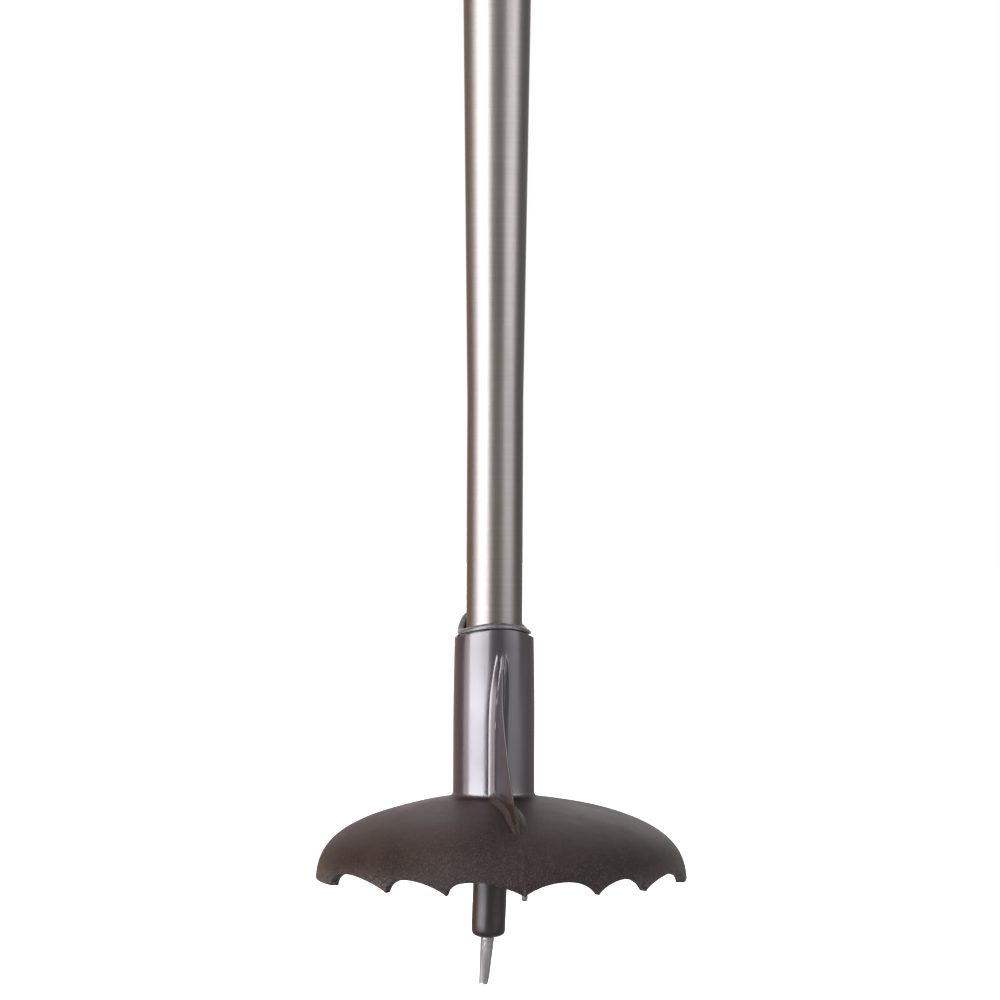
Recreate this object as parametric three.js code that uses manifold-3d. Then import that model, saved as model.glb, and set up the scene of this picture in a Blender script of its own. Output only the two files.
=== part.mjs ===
// A ski pole: tapered aluminium shaft, plastic ferrule with a steel pin, snow basket with a tall collar,
// and a moulded grip with a wrist strap. Millimetres, +Z up the shaft, +Y towards the user.
// The origin is on the shaft's axis, level with the end of the steel pin.
import * as THREE from 'three';
import { mergeVertices } from 'three/addons/utils/BufferGeometryUtils.js';
import Module from 'manifold-3d';

// ---- driving dimensions, mm ----
const pole_length = 1050;
const fit_gap = 0.3; // left between pieces that touch

const shaft_tip_r = 6; // parallel lower stretch
const shaft_r = 8; // full size, from cone_top up
const shaft_wall = 1.2;
const cone_bottom = 125;
const cone_top = 263;
const shaft_bottom = 45; // end of the tube inside the ferrule
const shaft_top = 1012;

const nose_r = 3.65;
const nose_bottom = 10.25;
const nose_set = -0.97; // the nose stands this far off the axis, in X
const collar_r = 7.45; // ferrule inside the basket's sleeve
const collar_lip_r = 7.9;
const collar_top = 76.85;
const lip_wave = 0.75; // the lip's edge is higher by this much at the front and back
const back_lobe = 2.3; // extra height of the lip at the back
const back_lobe_lean = 0.475; // how much more of that is towards -X
const pin_root_r = 1.5;
const pin_end_r = 1.02;
const pin_root_top = 30;
const pin_set = -1.15; // offset of the pin in X where it leaves the nose
const pin_lean = -0.8; // how much further off the axis the pin's end stands
const notch_r = 0.45; // notch ground across the pin's end
const notch_depth = 0.35;
const notch_set = -0.5; // from the middle of the pin's end, in X

const basket_r = 39.86;
const dome_base = 18; // the dome is the upper part of a rounded form that stands on this height
const dome_height = 23.02;
const dome_flatness = 1.5;
const dome_shoulder = 3.6;
const rim_bottom = 22.7; // ends of the teeth
const rim_cut = 2.9; // height of the arches between teeth
const rim_band = 6.5; // the arches are worked into the wall up to this far above the teeth
// Ends of the rim's stretches over half a turn, in degrees from the front fin, and the steps each takes.
// The middle stretch, at the side, is plain; the others are arches with a tooth at each end.
const rim_stops = [0, 23.5, 42.4, 71.5, 108.5, 135.9, 156.4, 180];
const rim_steps = [5, 5, 6, 6, 6, 5, 5];
const arch_leans = [0.868, 0.642]; // 1 is an even arch; less moves its top towards the side; +X, then -X
const arch_fullness = 0.8;
const dome_wall = 2;
const dome_set = 1.75; // the dome stands this far off the sleeve's axis, in X
const set_from = 8.8; // that offset grows from this radius
const set_full = 23.5; // up to this one
const set_fade = 4; // and fades out over this height above the dome, up the fins
const fin_lean = 0.078; // a fin's ridge leans in X by this much per mm of radius
const fin_lean_from = 13.5; // from this radius on
const sleeve_r = 8.73;
const sleeve_top_r = 8.5;
const sleeve_top = 75.6;
const sleeve_wave = 0.95; // the sleeve's top edge is higher by this much at the fins
const sleeve_bore_r = 7.75;
const hub_bore_r = 4.9;
const hub_bottom = 30;
const fin_thickness = 2.4; // at the root
const fin_ridge = 0.4; // the ridge's thickness, as a share of the root's

const grip_bottom = 902;
const grip_top = 1036; // underside of the cap
const grip_bore_r = 8.3;
const strap_pin_z = 1022;
const strap_pin_y = 27;
const strap_pin_r = 1.6;
const pin_play = 0.1;
const strap_width = 20;
const strap_thickness = 2.2;
const strap_length = 205; // from the pin down to the bottom of the loop
const strap_bow = 33; // radius of the middle of the webbing at the loop's round end
const strap_neck = 10; // from the pin down to where the loop's two runs part
const neck_bow = 1.5; // radius of the middle of the webbing there
const pad_width = 32;
const pad_thickness = 4;
const slider_size = [28, 7, 24]; // across the webbing, through it, along it
const slider_at = 92; // along the straight back run, from its upper end
const keeper_at = 60;
const core_wall = 2;
const screw_r = 1.9;
const screw_head_r = 4.2;

// ---- helpers ----
const wasm = await Module();
wasm.setup();

const radians = THREE.MathUtils.degToRad;
const mix = THREE.MathUtils.lerp;
const smooth = THREE.MathUtils.smoothstep;

// A closed geometry as a manifold solid.
function solid(geometry) {
  const bare = geometry.clone();
  for (const name of ['normal', 'uv']) bare.deleteAttribute(name);
  const merged = mergeVertices(bare, 1e-4);
  const triVerts = [];
  for (let i = 0; i < merged.index.count; i += 3) {
    const [a, b, c] = [0, 1, 2].map((k) => merged.index.getX(i + k));
    if (a !== b && b !== c && c !== a) triVerts.push(a, b, c);
  }
  return new wasm.Manifold(new wasm.Mesh({
    numProp: 3,
    vertProperties: merged.attributes.position.array,
    triVerts: new Uint32Array(triVerts),
  }));
}

function geometryOf(manifold) {
  const mesh = manifold.getMesh();
  const geometry = new THREE.BufferGeometry();
  const positions = new Float32Array(mesh.numVert * 3);
  for (let i = 0; i < mesh.numVert; i += 1) {
    for (let k = 0; k < 3; k += 1) positions[3 * i + k] = mesh.vertProperties[mesh.numProp * i + k];
  }
  geometry.setAttribute('position', new THREE.BufferAttribute(positions, 3));
  geometry.setIndex(new THREE.BufferAttribute(new Uint32Array(mesh.triVerts), 1));
  geometry.computeVertexNormals();
  return geometry;
}

// A profile of [radius, height] points, counter-clockwise, turned about Z.
function turned(points, segments = 32) {
  const profile = points.map(([r, z]) => new THREE.Vector2(r, z));
  return new THREE.LatheGeometry(profile, segments).rotateX(Math.PI / 2);
}

// A round bar between two heights.
function bar(r, low, high, segments = 32) {
  return turned([[0, low], [r, low], [r, high], [0, high]], segments);
}

// Moves every vertex of a geometry by a function of its place.
function moved(geometry, move) {
  const position = geometry.attributes.position;
  const p = new THREE.Vector3();
  for (let i = 0; i < position.count; i += 1) {
    move(p.fromBufferAttribute(position, i));
    position.setXYZ(i, p.x, p.y, p.z);
  }
  return geometry;
}

// An outline of [y, z] points, or a Shape in those directions, made width thick along X about x = 0.
function slab(outline, width) {
  const drawn = Array.isArray(outline);
  const shape = drawn ? new THREE.Shape(outline.map(([y, z]) => new THREE.Vector2(y, z))) : outline;
  const geometry = new THREE.ExtrudeGeometry(shape, { depth: width, bevelEnabled: false });
  return geometry.translate(0, 0, -width / 2).applyMatrix4(new THREE.Matrix4().makeBasis(
    new THREE.Vector3(0, 1, 0), new THREE.Vector3(0, 0, 1), new THREE.Vector3(1, 0, 0)));
}

const pole = new THREE.Group();

function add(name, shape, color, roughness, metalness = 0) {
  const geometry = shape instanceof wasm.Manifold ? geometryOf(shape) : shape;
  const mesh = new THREE.Mesh(geometry, new THREE.MeshStandardMaterial({ color, roughness, metalness }));
  mesh.name = name;
  pole.add(mesh);
}

// ---- shaft ----
function shaft() {
  const outer = [
    [shaft_tip_r, shaft_bottom], [shaft_tip_r, cone_bottom], [shaft_r, cone_top], [shaft_r, shaft_top],
  ];
  const inner = outer.map(([r, z]) => [r - shaft_wall, z]).reverse();
  return turned([...outer, ...inner, outer[0]], 48);
}

// ---- ferrule: collar round the shaft's end, and the nose that holds the pin ----
// The centre line leaves the axis below the basket's sleeve.
function noseSet(z) {
  return nose_set * smooth(-z, -42, -nose_bottom);
}

// The lip's top edge is wavy: high at the front and back, low at the sides.
function lipWave(angle) {
  const back = smooth(Math.sin(angle), 0.05, 0.8) * (1 - back_lobe_lean * Math.cos(angle));
  return -lip_wave * Math.cos(2 * angle) + back_lobe * back;
}

function ferrule() {
  const socket_r = shaft_tip_r + fit_gap;
  const socket_bottom = shaft_bottom - fit_gap;
  const profile = [
    [0, nose_bottom], [nose_r - 1.2, nose_bottom], [nose_r - 0.4, nose_bottom + 0.45],
    [nose_r, nose_bottom + 1.4], [nose_r, 20], [nose_r, 27],
    [collar_r - 3, 33], [collar_r, 43], [collar_r, 72.5],
    [collar_lip_r, 74.2], [collar_lip_r, collar_top - 0.9], [collar_lip_r - 0.4, collar_top - 0.3],
    [socket_r + 0.25, collar_top], [socket_r, collar_top - 0.3],
    [socket_r, 70], [socket_r, socket_bottom], [0, socket_bottom],
  ];
  const body = moved(turned(profile, 48), (p) => {
    const angle = Math.atan2(p.y, p.x);
    p.z += lipWave(angle) * smooth(p.z, 74.5, collar_top - 1);
    p.x += noseSet(p.z);
  });
  const hole = moved(bar(pin_root_r + fit_gap, nose_bottom - 5, pin_root_top + fit_gap, 24), (p) => {
    p.x += pinSet(p.z);
  });
  return solid(body).subtract(solid(hole));
}

// ---- steel pin, tapered, with a notch ground across its end ----
function pinSet(z) {
  return pin_set + (z < nose_bottom ? pin_lean * (1 - z / nose_bottom) : 0);
}

function tipPin() {
  const rows = [pin_root_top, nose_bottom, 7.5, 5, 3, 2];
  const profile = [[0, 0], [pin_end_r - 0.15, 0], [pin_end_r, 0.4]];
  for (const z of rows.reverse()) {
    profile.push([mix(pin_end_r, pin_root_r, Math.min(1, z / nose_bottom)), z]);
  }
  const body = moved(turned([...profile, [0, pin_root_top]], 24), (p) => { p.x += pinSet(p.z); });
  const notch = new THREE.CylinderGeometry(notch_r, notch_r, 4 * pin_root_r, 24)
    .translate(pinSet(0) + notch_set, 0, notch_depth - notch_r);
  return solid(body).subtract(solid(notch));
}

// ---- basket: dome with a toothed rim, sleeve and two fins, one moulding ----
function domeZ(r) {
  return dome_base + dome_height * (1 - (r / basket_r) ** dome_flatness) ** (1 / dome_shoulder);
}

function domeR(z) {
  const h = THREE.MathUtils.clamp((z - dome_base) / dome_height, 0, 1);
  return basket_r * (1 - h ** dome_shoulder) ** (1 / dome_flatness);
}

// Angles of the rim's columns of vertices, all the way round.
function rimAngles() {
  const half = rim_steps.flatMap((steps, k) => (
    Array.from({ length: steps }, (_, i) => mix(rim_stops[k], rim_stops[k + 1], i / steps))
  ));
  return [...half, ...half.map((angle) => angle + 180)];
}

// Height of the arch over the rim at an angle from the front fin.
function archHeight(degrees) {
  const angle = degrees % 180;
  const k = Math.max(0, rim_stops.findLastIndex((stop) => stop <= angle));
  const plain = (rim_stops.length - 2) / 2;
  if (k === plain) return 0;
  const share = (angle - rim_stops[k]) / (rim_stops[k + 1] - rim_stops[k]);
  const u = k < plain ? (1 - share) ** arch_leans[0] : share ** arch_leans[1];
  return rim_cut * (4 * u * (1 - u)) ** arch_fullness;
}

function basketShell() {
  const band = rim_bottom + rim_band;
  const profile = [];
  const rim_rows = 3;
  for (let i = 0; i <= rim_rows; i += 1) {
    const z = mix(rim_bottom, band, i / rim_rows);
    profile.push([domeR(z), z]);
  }
  for (const r of [35.6, 32.4, 28, 22.5, 16.5, 11.5]) profile.push([r, domeZ(r)]);
  profile.push([sleeve_r + 0.5, domeZ(10) + 0.5], [sleeve_r, 42.5], [sleeve_r, 55], [sleeve_r - 0.1, 66]);
  profile.push([sleeve_top_r + 0.02, 72], [sleeve_top_r - 0.05, sleeve_top - 0.4]);
  profile.push([sleeve_top_r - 0.25, sleeve_top]);
  profile.push([sleeve_bore_r + 0.35, sleeve_top - 0.2], [sleeve_bore_r + 0.3, 74], [sleeve_bore_r, 71.5]);
  profile.push([sleeve_bore_r, 43], [hub_bore_r, 32.8], [hub_bore_r, hub_bottom]);
  profile.push([hub_bore_r + 1.6, hub_bottom], [hub_bore_r + 3.2, 36.5]);
  for (const r of [14, 21, 27.5, 33]) profile.push([r, domeZ(r + 0.6) - dome_wall]);
  for (let i = rim_rows - 1; i >= 0; i -= 1) {
    const z = mix(rim_bottom, band - 1.5, i / (rim_rows - 1));
    profile.push([domeR(z + 0.8) - dome_wall * 0.95, z]);
  }
  profile.push(profile[0]);
  const angles = rimAngles();
  return moved(turned(profile, angles.length), (p) => {
    const turn = Math.atan2(p.x, -p.y) / (2 * Math.PI);
    const degrees = angles[(Math.round(turn * angles.length) + angles.length) % angles.length];
    const angle = radians(degrees);
    let r = Math.hypot(p.x, p.y);
    if (p.z > 72 && r < 9) p.z += sleeve_wave * Math.cos(2 * angle) * smooth(p.z, 72, sleeve_top - 0.4);
    if (p.z < band && r > 30) {
      const z = p.z + archHeight(degrees) * (1 - (p.z - rim_bottom) / rim_band);
      r *= domeR(z) / domeR(p.z);
      p.z = z;
    }
    p.x = r * Math.sin(angle);
    p.y = -r * Math.cos(angle);
  });
}

// A fin's outline from the sleeve to the dome, as [distance from the axis, height].
const fin_outline = [
  [6.4, 70.2], [8.7, 70.2], [11.3, 65.8], [16.2, 55.9], [20.2, 49], [23.9, 44.1], [27.6, 39.4], [30.8, 34.8],
  [30.2, 34], [27.5, 35], [18, 37.6], [11.5, 38], [8.2, 41],
];

function fin(side) {
  const geometry = moved(slab(fin_outline.map(([r, z]) => [-r, z]), fin_thickness), (p) => {
    if (-p.y > sleeve_r && p.z > domeZ(-p.y) + 1) p.x *= fin_ridge;
  });
  return side > 0 ? geometry.rotateZ(Math.PI) : geometry;
}

function basket() {
  const bore = turned([
    [0, hub_bottom - 5], [hub_bore_r, hub_bottom - 5], [hub_bore_r, 32.8], [sleeve_bore_r, 43],
    [sleeve_bore_r, 80], [0, 80],
  ], 72);
  const whole = solid(basketShell()).add(solid(fin(-1))).add(solid(fin(1))).subtract(solid(bore));
  return moved(geometryOf(whole), (p) => {
    const r = Math.hypot(p.x, p.y);
    const fade = smooth(p.z - domeZ(Math.min(r, basket_r)), 0, set_fade);
    p.x += dome_set * smooth(r, set_from, set_full) * (1 - fade);
    p.x += fin_lean * Math.max(r - fin_lean_from, 0) * fade;
  });
}

// ---- grip ----
// Half widths and the two half depths of the grip at a height, read from a few stations.
const grip_stations = [
  // z, half width (x), front (-y), back (+y)
  [902, 15.5, 17, 17], [905, 18.5, 21.5, 20.5], [909, 18.8, 22, 21], [915, 15.2, 17, 17],
  [925, 14, 15.2, 16], [938, 14.6, 17.8, 16.8], [948, 14, 15.8, 17], [960, 14.8, 18.2, 17.4],
  [970, 14.2, 16, 17.4],
  [982, 15, 18.6, 17.6], [992, 14.6, 16.6, 17.8], [1004, 16, 19, 19], [1014, 18.4, 23.5, 21.5],
  [1024, 20, 27, 22.5], [1032, 20, 27.5, 22], [1036, 19, 26.2, 21],
];

function station(z) {
  const k = Math.max(0, grip_stations.findLastIndex((s) => s[0] <= z));
  const next = grip_stations[Math.min(k + 1, grip_stations.length - 1)];
  const t = next[0] > grip_stations[k][0] ? (z - grip_stations[k][0]) / (next[0] - grip_stations[k][0]) : 0;
  return grip_stations[k].map((value, i) => mix(value, next[i], t));
}

// A loft between two heights whose section is a rounded square with its own front and back.
function gripLoft(rows, inset = 0, segments = 36) {
  const profile = [[0, rows[0]], ...rows.map((z) => [1, z]), [0, rows.at(-1)]];
  return moved(turned(profile, segments), (p) => {
    const [, side, front, back] = station(p.z);
    const angle = Math.atan2(p.y, p.x);
    const square = (Math.abs(Math.cos(angle)) ** 2.4 + Math.abs(Math.sin(angle)) ** 2.4) ** (-1 / 2.4);
    const r = Math.hypot(p.x, p.y) * square;
    p.x = r * Math.cos(angle) * (side - inset);
    p.y = r * Math.sin(angle) * ((p.y > 0 ? back : front) - inset);
  });
}

const core_r = grip_bore_r + core_wall;

function gripBody() {
  const rows = grip_stations.map((s) => s[0]);
  const bore = bar(core_r + fit_gap, grip_bottom - 5, grip_top + 5);
  const slot = slab([[14, 1008], [40, 1008], [40, 1040], [14, 1040]], strap_width + 5);
  return solid(gripLoft(rows)).subtract(solid(bore)).subtract(solid(slot));
}

// Hard inner sleeve that grips the shaft, with a solid head that takes the cap's screw.
function gripCore() {
  const profile = [
    [grip_bore_r, grip_bottom + 8], [core_r, grip_bottom + 8],
    [core_r, grip_top - fit_gap], [screw_r + fit_gap, grip_top - fit_gap],
    [screw_r + fit_gap, shaft_top + 12], [grip_bore_r, shaft_top + 12], [grip_bore_r, grip_bottom + 8],
  ];
  return turned(profile, 32);
}

// Two ears at the back of the head carry the strap's cross pin.
function strapBracket() {
  const inner = strap_width / 2 + 0.9;
  const ear_wall = 0.9;
  const outline = new THREE.Shape();
  outline.moveTo(14.4, 1010);
  outline.lineTo(21, 1012);
  outline.absarc(strap_pin_y, strap_pin_z, 4.2, -Math.PI / 2, Math.PI / 2, false);
  outline.lineTo(14.4, 1031);
  outline.closePath();
  const block = slab(outline, 2 * (inner + ear_wall) - 0.4);
  const room = slab([[17, 1000], [40, 1000], [40, 1040], [17, 1040]], 2 * inner);
  const hole_r = strap_pin_r + pin_play;
  const hole = new THREE.CylinderGeometry(hole_r, hole_r, 60, 24).rotateZ(Math.PI / 2)
    .translate(0, strap_pin_y, strap_pin_z);
  return solid(block).subtract(solid(room)).subtract(solid(hole));
}

function strapPin() {
  const half = strap_width / 2 + 1.6;
  return bar(strap_pin_r, -half, half, 24).rotateY(Math.PI / 2).translate(0, strap_pin_y, strap_pin_z);
}

// The cap closes the head, with a flat top and a sunk place for its screw.
function gripCap() {
  const low = grip_top + fit_gap;
  const profile = [
    [0, low], [1, low], [1, low + 5], [0.96, low + 8.5], [0.86, low + 11.5],
    [0.7, pole_length], [0, pole_length],
  ];
  const [, side, front, back] = grip_stations.at(-1);
  const body = moved(turned(profile, 36), (p) => {
    const angle = Math.atan2(p.y, p.x);
    const square = (Math.abs(Math.cos(angle)) ** 2.4 + Math.abs(Math.sin(angle)) ** 2.4) ** (-1 / 2.4);
    p.x *= square * side;
    p.y *= square * (p.y > 0 ? back : front);
  });
  const well = turned([[0, low - 5], [screw_r + 0.2, low - 5], [screw_r + 0.2, low + 8.2],
    [screw_head_r + 0.3, low + 8.2], [screw_head_r + 0.3, pole_length + 5], [0, pole_length + 5]], 32);
  return solid(body).subtract(solid(well));
}

function capScrew() {
  const seat = grip_top + 8.8;
  const body = turned([[0, shaft_top + 14], [screw_r, shaft_top + 14], [screw_r, seat], [screw_head_r, seat],
    [screw_head_r, seat + 1.8], [screw_head_r - 0.9, seat + 2.6], [0, seat + 2.6]], 32);
  const blade = new THREE.BoxGeometry(4.4, 0.9, 3).translate(0, 0, seat + 2.6);
  return solid(body).subtract(solid(blade)).subtract(solid(blade.clone().rotateZ(Math.PI / 2)));
}

// Closes the shaft's top end.
function shaftPlug() {
  const r = shaft_r - shaft_wall - fit_gap;
  return turned([[0, shaft_top - 22], [r - 0.6, shaft_top - 22], [r, shaft_top - 19],
    [r, shaft_top + fit_gap], [shaft_r - 0.3, shaft_top + fit_gap],
    [shaft_r - 0.3, shaft_top + 2], [0, shaft_top + 2]], 32);
}

// Trim ring under the grip's flange.
function gripRing() {
  const top = grip_bottom - fit_gap;
  return turned([[grip_bore_r, top - 7], [11, top - 7], [13.2, top - 4.5], [14.6, top - 1.2], [14.6, top],
    [grip_bore_r, top], [grip_bore_r, top - 7]], 36);
}

// ---- wrist strap, hanging from its pin behind the grip ----
const loop_top = new THREE.Vector2(strap_pin_y, strap_pin_z - strap_neck);
const loop_end = loop_top.clone().add(
  new THREE.Vector2(strap_bow - neck_bow, strap_neck + strap_bow - strap_length));
const loop_line = loop_end.clone().sub(loop_top);
const loop_angle = loop_line.angle();
const loop_wrap = Math.acos((neck_bow - strap_bow) / loop_line.length());

// The loop's outline, as a belt round two circles, grown outwards by an offset.
function belt(offset) {
  const outline = new THREE.Shape();
  const [from, to] = [loop_angle - loop_wrap, loop_angle + loop_wrap];
  outline.absarc(loop_end.x, loop_end.y, strap_bow + offset, from, to, false);
  outline.absarc(loop_top.x, loop_top.y, neck_bow + offset, to, from, false);
  outline.closePath();
  return outline;
}

function strapWebbing() {
  const loop = belt(strap_thickness / 2);
  loop.holes.push(belt(-strap_thickness / 2));
  const knuckle_r = strap_pin_r + fit_gap + 1.3;
  const knuckle = bar(knuckle_r, -strap_width / 2, strap_width / 2, 24).rotateY(Math.PI / 2)
    .translate(0, strap_pin_y, strap_pin_z);
  const half = neck_bow + strap_thickness / 2;
  const neck = slab([
    [strap_pin_y - half, loop_top.y], [strap_pin_y + half, loop_top.y],
    [strap_pin_y + half, strap_pin_z - 1], [strap_pin_y - half, strap_pin_z - 1],
  ], strap_width);
  const eye = bar(strap_pin_r + fit_gap, -strap_width, strap_width, 24).rotateY(Math.PI / 2)
    .translate(0, strap_pin_y, strap_pin_z);
  return solid(slab(loop, strap_width)).add(solid(neck)).add(solid(knuckle)).subtract(solid(eye));
}

// Padding inside the loop's round end.
function strapPad() {
  const outer = strap_bow - strap_thickness / 2 - fit_gap;
  const from = radians(-178);
  const to = radians(8);
  const outline = new THREE.Shape();
  outline.absarc(loop_end.x, loop_end.y, outer, from, to, false);
  outline.absarc(loop_end.x, loop_end.y, outer - pad_thickness, to, from, true);
  outline.closePath();
  return slab(outline, pad_width);
}

// Places a geometry made round the webbing (X across it, Y through it, Z along it) on the straight back run.
function onBackRun(geometry, along) {
  const normal = new THREE.Vector2(1, 0).rotateAround(new THREE.Vector2(), loop_angle + loop_wrap);
  const start = loop_top.clone().addScaledVector(normal, neck_bow);
  const end = loop_end.clone().addScaledVector(normal, strap_bow);
  const down = end.sub(start).normalize();
  const place = start.addScaledVector(down, along);
  const through = new THREE.Vector3(0, normal.x, normal.y);
  const up = new THREE.Vector3(0, -down.x, -down.y);
  const across = through.clone().cross(up);
  const matrix = new THREE.Matrix4().makeBasis(across, through, up).setPosition(0, place.x, place.y);
  return geometry.applyMatrix4(matrix);
}

// Frame with a middle bar that the webbing would be threaded round.
function strapSlider() {
  const [wide, deep, long] = slider_size;
  const passage = [strap_width + 2 * fit_gap, strap_thickness + 2 * fit_gap];
  const block = new THREE.BoxGeometry(wide, deep, long);
  const tunnel = new THREE.BoxGeometry(passage[0], passage[1], long + 2);
  const frame = [-1, 1].reduce((rest, end) => {
    const window = new THREE.BoxGeometry(strap_width - 4, deep + 2, 5).translate(0, 0, end * 5.4);
    return rest.subtract(solid(window));
  }, solid(block).subtract(solid(tunnel)));
  return onBackRun(geometryOf(frame), slider_at);
}

function strapKeeper() {
  const inner = [strap_width + 2 * fit_gap, strap_thickness + 2 * fit_gap];
  const block = new THREE.BoxGeometry(inner[0] + 3, inner[1] + 3, 8);
  const tunnel = new THREE.BoxGeometry(inner[0], inner[1], 10);
  return onBackRun(geometryOf(solid(block).subtract(solid(tunnel))), keeper_at);
}

add('shaft_tube', shaft(), 0x9b938f, 0.35, 1);
add('shaft_plug', shaftPlug(), 0x1c1c1e, 0.6);
add('ferrule', ferrule(), 0x2c2727, 0.35);
add('tip_pin', tipPin(), 0x999998, 0.35, 1);
add('basket', basket(), 0x3d3535, 0.5);
add('grip_body', gripBody(), 0x2b2a2b, 0.6);
add('grip_core', gripCore(), 0x1c1c1e, 0.5);
add('grip_ring', gripRing(), 0x55504e, 0.4);
add('grip_cap', gripCap(), 0x39373a, 0.4);
add('cap_screw', capScrew(), 0x9a9a9c, 0.3, 1);
add('strap_bracket', strapBracket(), 0x202022, 0.45);
add('strap_pin', strapPin(), 0xa0a0a0, 0.3, 1);
add('strap_webbing', strapWebbing(), 0x1f1f21, 0.9);
add('strap_pad', strapPad(), 0x303033, 0.9);
add('strap_slider', strapSlider(), 0x1a1a1b, 0.4);
add('strap_keeper', strapKeeper(), 0x18181a, 0.7);

export default pole;
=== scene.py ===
"""A ski pole, looked at closely round its basket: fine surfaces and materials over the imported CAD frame.

Lengths are in metres and heights are measured up from the end of the steel pin, as in the frame.
"""

import math

import bpy
import numpy as np
from mathutils import Matrix, Vector


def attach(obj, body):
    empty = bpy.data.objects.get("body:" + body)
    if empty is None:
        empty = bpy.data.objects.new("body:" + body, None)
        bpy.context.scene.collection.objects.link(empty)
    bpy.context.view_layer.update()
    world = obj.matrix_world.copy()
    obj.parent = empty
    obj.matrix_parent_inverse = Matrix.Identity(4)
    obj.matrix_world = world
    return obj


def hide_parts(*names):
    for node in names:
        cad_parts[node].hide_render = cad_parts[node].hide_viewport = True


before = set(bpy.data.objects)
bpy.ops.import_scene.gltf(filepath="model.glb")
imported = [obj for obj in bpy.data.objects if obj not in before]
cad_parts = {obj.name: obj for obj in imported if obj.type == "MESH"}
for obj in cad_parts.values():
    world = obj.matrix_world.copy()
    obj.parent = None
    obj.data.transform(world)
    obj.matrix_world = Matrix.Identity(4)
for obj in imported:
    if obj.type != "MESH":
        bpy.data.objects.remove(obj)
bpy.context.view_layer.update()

MM = 0.001
scene = bpy.context.scene


# ---- meshes ----
def make_object(name, vertices, faces, sharp_degrees=35):
    """A smooth mesh object, with its sharper edges kept crisp."""
    mesh = bpy.data.meshes.new(name)
    mesh.from_pydata(np.asarray(vertices, float).tolist(), [], faces)
    mesh.validate()
    mesh.shade_smooth()
    mesh.set_sharp_from_angle(angle=math.radians(sharp_degrees))
    piece = bpy.data.objects.new(name, mesh)
    scene.collection.objects.link(piece)
    return piece


def grid_faces(rows, columns, wrap_rows=False):
    """Quads over a grid of vertices that is stored row by row, each row a closed ring."""
    faces = []
    for i in range(rows if wrap_rows else rows - 1):
        for j in range(columns):
            below, beside = (i + 1) % rows, (j + 1) % columns
            faces.append((i * columns + j, i * columns + beside, below * columns + beside, below * columns + j))
    return faces


def rounded(corners, closed=False, steps=6):
    """A path of (radius, height, rounding) corners, in mm, with each corner turned into a small curve."""
    path = []
    count = len(corners)
    for i, (r, z, rounding) in enumerate(corners):
        here = np.array([r, z], float)
        if rounding <= 0 or (not closed and i in (0, count - 1)):
            path.append(here)
            continue
        before = np.array(corners[i - 1][:2], float) - here
        after = np.array(corners[(i + 1) % count][:2], float) - here
        cut = min(rounding, 0.49 * np.linalg.norm(before), 0.49 * np.linalg.norm(after))
        start = here + before / np.linalg.norm(before) * cut
        end = here + after / np.linalg.norm(after) * cut
        for t in np.linspace(0, 1, steps):
            path.append((1 - t) ** 2 * start + 2 * t * (1 - t) * here + t * t * end)
    return np.array(path)


def lathe(name, path, segments=128, move=None, closed=False, sharp_degrees=35):
    """A path of [radius, height] in mm turned about Z, bottom first. A path's end on the axis becomes one point."""
    path = np.asarray(path, float)
    turn = np.linspace(0, 2 * math.pi, segments, endpoint=False)
    ends = [] if closed else [i for i in (0, len(path) - 1) if path[i][0] < 1e-6]
    middle = [i for i in range(len(path)) if i not in ends]
    rings = np.stack([
        path[middle, 0][:, None] * np.cos(turn),
        path[middle, 0][:, None] * np.sin(turn),
        np.repeat(path[middle, 1][:, None], segments, axis=1),
    ], axis=2).reshape(-1, 3)
    faces = grid_faces(len(middle), segments, wrap_rows=closed)
    points = [*rings]
    for end in ends:
        tip = len(points)
        points.append(np.array([0, 0, path[end][1]]))
        ring = 0 if end == 0 else (len(middle) - 1) * segments
        for j in range(segments):
            a, b = ring + j, ring + (j + 1) % segments
            faces.append((tip, b, a) if end == 0 else (a, b, tip))
    points = np.array(points)
    if move:
        points = move(points)
    return make_object(name, points * MM, faces, sharp_degrees)


def smoothstep(x, low, high):
    t = np.clip((x - low) / (high - low), 0, 1)
    return t * t * (3 - 2 * t)


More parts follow.
